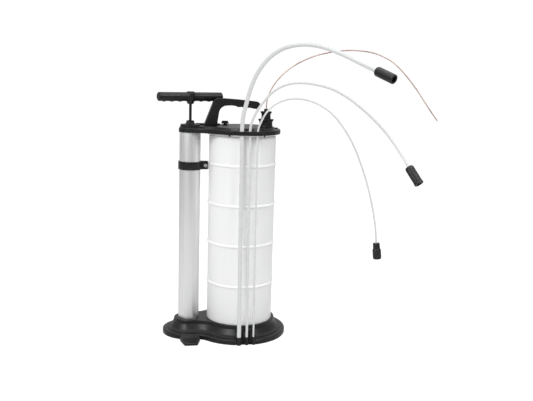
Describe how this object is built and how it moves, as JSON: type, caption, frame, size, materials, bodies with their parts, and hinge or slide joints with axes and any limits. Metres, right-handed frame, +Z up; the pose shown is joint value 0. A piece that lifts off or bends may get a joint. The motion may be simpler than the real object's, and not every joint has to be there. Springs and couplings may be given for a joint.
{
  "type": "fluid transfer pump",
  "caption": "Manual vacuum fluid pump: translucent ribbed tank and aluminium pump tube on one moulded foot, with T-handle, carry handle and hoses.",
  "frame": {"origin": "on the floor, in the middle of the pump's own footprint box, which leaves the free hoses out", "axes": "+Z up along the tank and the pump; -Y is the front, where the hoses hang; the pump stands on the -X side of the tank"},
  "size_m": [0.6571, 0.433, 0.7048],
  "materials": {
    "black_plastic": "black moulded polypropylene, satin with a fine grain",
    "tank_plastic": "translucent milky blow-moulded polyethylene",
    "aluminium": "satin drawn aluminium tube",
    "steel": "plated steel",
    "rubber": "matte black rubber",
    "seal_rubber": "black nitrile seal",
    "acetal": "natural acetal",
    "hose_plastic": "milky translucent polyethylene hose",
    "copper_tube": "thin copper-coloured tube, glossy"
  },
  "bodies": {
    "root": {"base": "black_plastic", "hose_holder": "black_plastic", "foot_screw": "steel", "tank": "tank_plastic", "tank_gasket": "seal_rubber", "lid": "black_plastic", "carry_handle": "black_plastic", "handle_screw_outer": "steel", "handle_screw_inner": "steel", "pump_barrel": "aluminium", "barrel_seal": "seal_rubber", "barrel_plug": "black_plastic", "plug_seal": "seal_rubber", "clamp_strap": "black_plastic", "clamp_washer": "steel", "clamp_bolt": "steel", "clamp_nut": "steel", "rod_guide": "black_plastic", "rod_seal": "seal_rubber", "inlet_valve": "rubber", "outlet_valve": "rubber", "port_base": "black_plastic", "port_seal": "seal_rubber", "hose_adapter": "black_plastic", "tube_nipple": "rubber", "float_cage": "acetal", "vent_seat": "black_plastic", "vent_spring": "steel", "large_hose": "hose_plastic", "medium_hose": "hose_plastic", "small_hose": "hose_plastic", "thin_tube": "copper_tube", "large_connector": "rubber", "medium_connector": "rubber", "small_connector": "rubber", "lid_screw_1": "black_plastic", "lid_screw_2": "black_plastic", "lid_screw_3": "black_plastic", "lid_screw_4": "black_plastic", "lid_screw_5": "black_plastic"},
    "pump_piston": {"piston": "acetal", "piston_cup": "rubber", "piston_washer": "steel", "piston_nut": "steel"},
    "handle": {"piston_rod": "steel", "t_handle": "black_plastic", "bar_cap_left": "black_plastic", "bar_cap_right": "black_plastic"},
    "float_body": {"float": "acetal"},
    "vent_body": {"vent_button": "black_plastic", "vent_seal": "rubber"}
  },
  "joints": [
    {"name": "pump_stroke", "type": "slide", "parent": "root", "child": "pump_piston", "axis": [0, 0, 1], "range_m": [0, 0.36]},
    {"name": "handle_spin", "type": "hinge", "parent": "pump_piston", "child": "handle", "pos_m": [-0.08027, 0.00155, 0.577], "axis": [0, 0, 1], "range_deg": [0, 130]},
    {"name": "float_rise", "type": "slide", "parent": "root", "child": "float_body", "axis": [0, 0, 1], "range_m": [0, 0.022]},
    {"name": "vent_press", "type": "slide", "parent": "root", "child": "vent_body", "axis": [0, 0, -1], "range_m": [0, 0.0025], "stiffness_N_per_m": 800, "springref_m": -0.002, "deforming": ["vent_spring"]}
  ]
}
